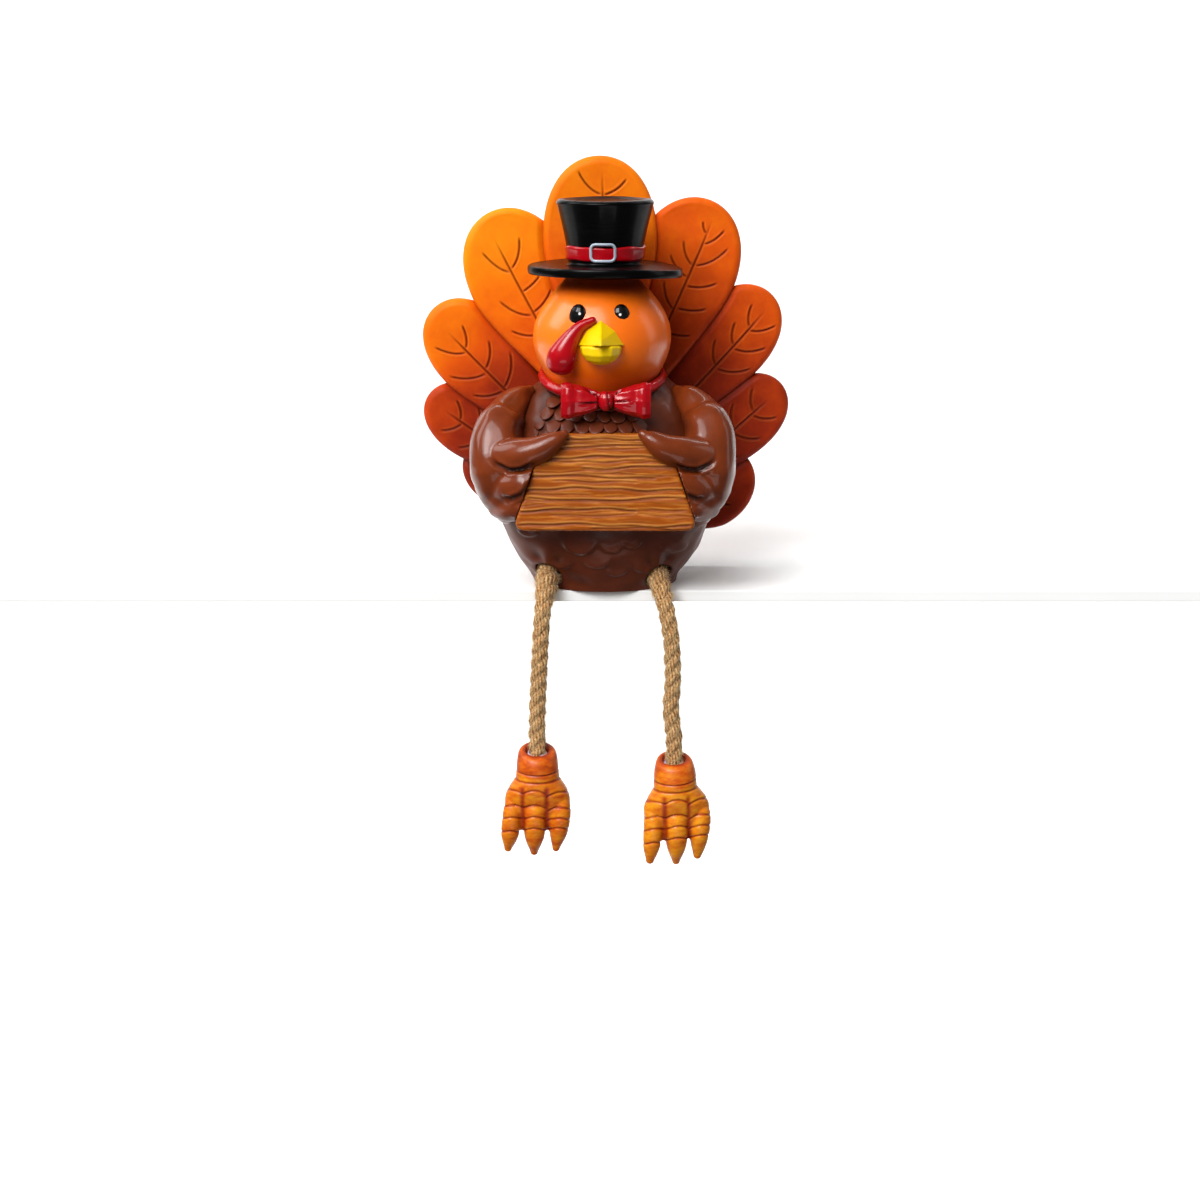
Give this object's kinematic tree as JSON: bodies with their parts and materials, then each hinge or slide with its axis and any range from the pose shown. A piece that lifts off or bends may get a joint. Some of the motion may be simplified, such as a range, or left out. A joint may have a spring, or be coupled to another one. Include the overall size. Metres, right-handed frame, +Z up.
{
  "type": "thanksgiving turkey figure",
  "caption": "Seated turkey figure in a top hat and bow tie, holding a bare plank sign, with a fan of tail feathers and loose rope legs that hang over a shelf edge.",
  "frame": {"origin": "centre of the body's flat base, where the figure rests on its shelf; the legs hang below it in front of the shelf", "axes": "+Z up, -Y the way the figure looks, +X to the viewer's right"},
  "size_m": [0.1333, 0.0833, 0.2464],
  "materials": {
    "brown_resin": "satin",
    "orange_resin": "satin",
    "feather_orange": "satin",
    "feather_rust": "satin",
    "black_gloss": "gloss",
    "yellow_resin": "satin",
    "red_gloss": "gloss",
    "black_satin": "satin",
    "buckle_silver": "satin",
    "plank_brown": "satin",
    "foot_orange": "satin",
    "glue_lilac": "gloss",
    "jute": "matte"
  },
  "bodies": {
    "figure": {"body": "brown_resin", "tail_rump": "brown_resin", "left_wing": "brown_resin", "right_wing": "brown_resin", "head": "orange_resin", "left_eye": "black_gloss", "right_eye": "black_gloss", "upper_beak": "yellow_resin", "lower_beak": "yellow_resin", "snood": "red_gloss", "neck_band": "red_gloss", "bow_knot": "red_gloss", "bow_left_loop": "red_gloss", "bow_right_loop": "red_gloss", "hat_band": "red_gloss", "top_hat": "black_satin", "hat_buckle": "buckle_silver", "sign_board": "plank_brown", "top_tail_feather": "feather_orange", "left_tail_feather_1": "feather_orange", "right_tail_feather_1": "feather_orange", "left_tail_feather_2": "feather_rust", "right_tail_feather_2": "feather_rust", "left_tail_feather_3": "feather_rust", "right_tail_feather_3": "feather_rust", "left_tail_feather_4": "feather_rust", "right_tail_feather_4": "feather_rust"},
    "left_upper_leg": {"left_upper_rope": "jute"},
    "left_lower_leg": {"left_lower_rope": "jute"},
    "left_foot_end": {"left_foot": "foot_orange", "left_foot_glue": "glue_lilac"},
    "right_upper_leg": {"right_upper_rope": "jute"},
    "right_lower_leg": {"right_lower_rope": "jute"},
    "right_foot_end": {"right_foot": "foot_orange", "right_foot_glue": "glue_lilac"}
  },
  "joints": [
    {"name": "left_hip_swing", "type": "hinge", "parent": "figure", "child": "left_upper_leg", "pos_m": [-0.0217, -0.03162, -0.006], "axis": [-1, 0, 0], "range_deg": [-5, 90], "deforming": ["left_upper_rope"]},
    {"name": "left_knee_bend", "type": "hinge", "parent": "left_upper_leg", "child": "left_lower_leg", "pos_m": [-0.0229, -0.0318, -0.02215], "axis": [-1, 0, 0], "range_deg": [-90, 60], "deforming": ["left_lower_rope"]},
    {"name": "left_foot_twist", "type": "hinge", "parent": "left_lower_leg", "child": "left_foot_end", "pos_m": [-0.0239, -0.0315, -0.054], "axis": [0, 0, 1], "range_deg": [-60, 60], "stiffness_Nm_per_rad": 0.0005},
    {"name": "right_hip_swing", "type": "hinge", "parent": "figure", "child": "right_upper_leg", "pos_m": [0.0216, -0.03164, -0.006], "axis": [-1, 0, 0], "range_deg": [-5, 90], "deforming": ["right_upper_rope"]},
    {"name": "right_knee_bend", "type": "hinge", "parent": "right_upper_leg", "child": "right_lower_leg", "pos_m": [0.0235, -0.03182, -0.02215], "axis": [-1, 0, 0], "range_deg": [-90, 60], "deforming": ["right_lower_rope"]},
    {"name": "right_foot_twist", "type": "hinge", "parent": "right_lower_leg", "child": "right_foot_end", "pos_m": [0.0247, -0.0315, -0.0664], "axis": [-0.0576, 0, 0.9983], "range_deg": [-60, 60], "stiffness_Nm_per_rad": 0.0005}
  ]
}
